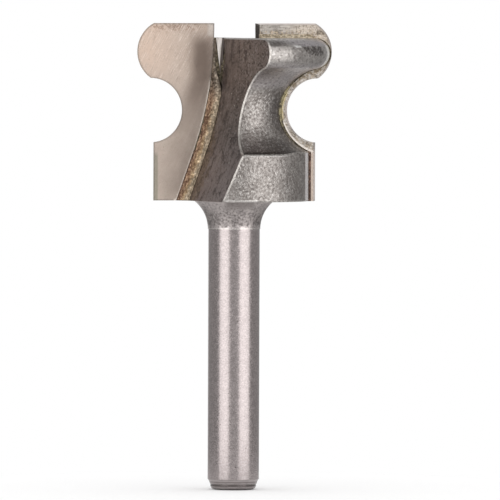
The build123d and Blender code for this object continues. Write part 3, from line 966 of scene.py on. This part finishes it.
def face_outwards(mesh):
    work = bmesh.new()
    work.from_mesh(mesh)
    bmesh.ops.recalc_face_normals(work, faces=work.faces)
    work.to_mesh(mesh)
    work.free()


def cleaned_wedge(name, turn):
    """The bead's top end, ground to a flat that slopes from beside the tip up to the wall."""
    face = [on_flute(*corner, turn) for corner in FLAT_OUTLINE]
    floor = [on_flute(inward, z, FLAT_FLOOR, turn) for inward, z, _ in FLAT_OUTLINE]
    mesh = bpy.data.meshes.new(name)
    sides = [(k, (k + 1) % 3, (k + 1) % 3 + 3, k + 3) for k in range(3)]
    mesh.from_pydata(face + floor, [], [(2, 1, 0), (3, 4, 5), *sides])
    face_outwards(mesh)
    mesh.materials.append(flat_finish)
    return linked(name, mesh)


for side, turn in (("front", 1), ("back", -1)):
    fall = (BEAD_BOTTOM - BEAD_TOP) / BEAD_STATIONS
    heights = [BEAD_TOP + fall * k for k in range(BEAD_STATIONS + 1)]
    line = [on_flute(seam_line(z), z, 0.0, turn) for z in heights]
    bead = dressed_curve(f"braze_bead_{side}", line, bead_tree, {
        "Foot": GULLET_FOOT * MM, "Climb": BEAD_CLIMB * MM, "Lean": radians(WALL_LEAN),
        "Inward": RAKE_IN * turn, "Outward": RAKE_OUT * turn, "Lump Height": LUMP_HEIGHT * MM,
        "Lump Size": LUMP_SIZE * MM, "Ridge Height": RIDGE_HEIGHT * MM, "Along": BEAD_ALONG,
        "Around": BEAD_AROUND, "Seed": BEAD_SEED * turn, "Finish": bead_finish})
    face_outwards(bead.data)
    flat = cleaned_wedge(f"ground_flat_{side}", turn)
    for piece in (bead, flat):
        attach(piece, "root")

# ---------------------------------------------------------------- studio
FLOOR_RADIUS = 42.0
FLOOR_SIDES = 96
FLOOR_COLOUR = (0.96, 0.96, 0.96)
FLOOR_MIRRORED = (0.66, 0.66, 0.66)
LIGHT_LEVEL = 1.08
SOFTBOXES = ((-50.0, 19.0), (43.9, 21.2))  # world azimuth and half width of each
SOFTBOX_SOFT, SOFTBOX_FADE = 7.0, 14.0  # sideways, and at the top and bottom
SOFTBOX_LOW, SOFTBOX_HIGH = -40.0, 38.0
SOFTBOX_LEVEL = 1.30
ROOM_LEVEL = 0.36
FRONT_LEVEL = 0.50
FRONT_HALF, FRONT_FADE = 40.0, 25
BACKDROP_LEVEL = 1.0
BACKDROP_HALF, BACKDROP_SOFT = 14.0, 8


def studio_world():
    """Two tall softboxes left and right of the front, a dim room and a white backdrop behind."""
    world = bpy.data.worlds.new("soft_studio")
    world.use_nodes = True
    world.cycles.sampling_method = "NONE"
    bpy.context.scene.world = world
    b = Board(world.node_tree)
    place = b.parts(b.add("ShaderNodeTexCoord", 0))
    azimuth = b.maths("ARCTAN2", place[0], b.times(place[1], -1.0))
    turn = b.times(azimuth, 180 / pi)
    tilt = b.times(b.maths("ARCSINE", place[2]), 180 / pi)
    upright = b.band(tilt, SOFTBOX_LOW, SOFTBOX_HIGH, SOFTBOX_FADE)
    front = b.span(
        b.maths("ABSOLUTE", turn), FRONT_HALF + FRONT_FADE, FRONT_HALF, ROOM_LEVEL, FRONT_LEVEL)
    light = front
    for centre, half in SOFTBOXES:
        wide = b.band(turn, centre - half, centre + half, SOFTBOX_SOFT)
        light = b.plus(b.times(wide, upright), SOFTBOX_LEVEL, light)
    behind = b.span(
        b.maths("ABSOLUTE", turn), 180 - BACKDROP_HALF - BACKDROP_SOFT,
        180 - BACKDROP_HALF + BACKDROP_SOFT)
    light = b.plus(behind, BACKDROP_LEVEL - ROOM_LEVEL, light)
    path = b.add("ShaderNodeLightPath", None).outputs
    mirrored = b.maths("MAXIMUM", path["Is Glossy Ray"], path["Is Transmission Ray"])
    seen = b.add("ShaderNodeMix", 0, {0: mirrored, 2: LIGHT_LEVEL, 3: light})
    seen = b.add("ShaderNodeMix", 0, {0: path["Is Camera Ray"], 2: seen, 3: 1.0})
    background = world.node_tree.nodes["Background"]
    b.feed(background.inputs["Color"], (1, 1, 1, 1))
    b.feed(background.inputs["Strength"], seen)


def studio_floor():
    """Plain white floor that keeps the object's soft shadow."""
    mesh = bpy.data.meshes.new("studio_floor")
    turns = [2 * pi * k / FLOOR_SIDES for k in range(FLOOR_SIDES)]
    rim = [(FLOOR_RADIUS * MM * cos(t), FLOOR_RADIUS * MM * sin(t), 0) for t in turns]
    mesh.from_pydata(rim, [], [list(range(FLOOR_SIDES))])
    material = bpy.data.materials.new("plain_floor")
    material.use_nodes = True
    bsdf = material.node_tree.nodes["Principled BSDF"]
    b = Board(material.node_tree)
    path = b.add("ShaderNodeLightPath", None).outputs
    b.feed(bsdf.inputs["Base Color"], b.blend(path["Is Glossy Ray"], FLOOR_COLOUR, FLOOR_MIRRORED))
    bsdf.inputs["Roughness"].default_value = 1.0
    bsdf.inputs["Specular IOR Level"].default_value = 0.0
    mesh.materials.append(material)
    floor = linked("studio_floor", mesh)


def camera():
    turn, rise = radians(CAMERA_AZIMUTH), radians(CAMERA_ELEVATION)
    right = Vector((cos(turn), sin(turn), 0))
    back = Vector((sin(turn) * cos(rise), -cos(turn) * cos(rise), sin(rise)))
    look = right * VIEW_SHIFT + Vector((0, 0, VIEW_HEIGHT))
    data = bpy.data.cameras.new("camera")
    data.sensor_width = SENSOR
    data.lens = SENSOR * CAMERA_DISTANCE / VIEW_WIDTH
    data.clip_start, data.clip_end = CLIP_NEAR, CLIP_FAR
    cam = linked("camera", data)
    cam.location = (look + back * CAMERA_DISTANCE) * MM
    cam.rotation_mode = "QUATERNION"
    roll = Quaternion((0, 0, 1), radians(CAMERA_ROLL))
    cam.rotation_quaternion = (-back).to_track_quat("-Z", "Y") @ roll
    bpy.context.scene.camera = cam


studio_world()
studio_floor()
camera()
bpy.context.scene.view_settings.view_transform = "Standard"
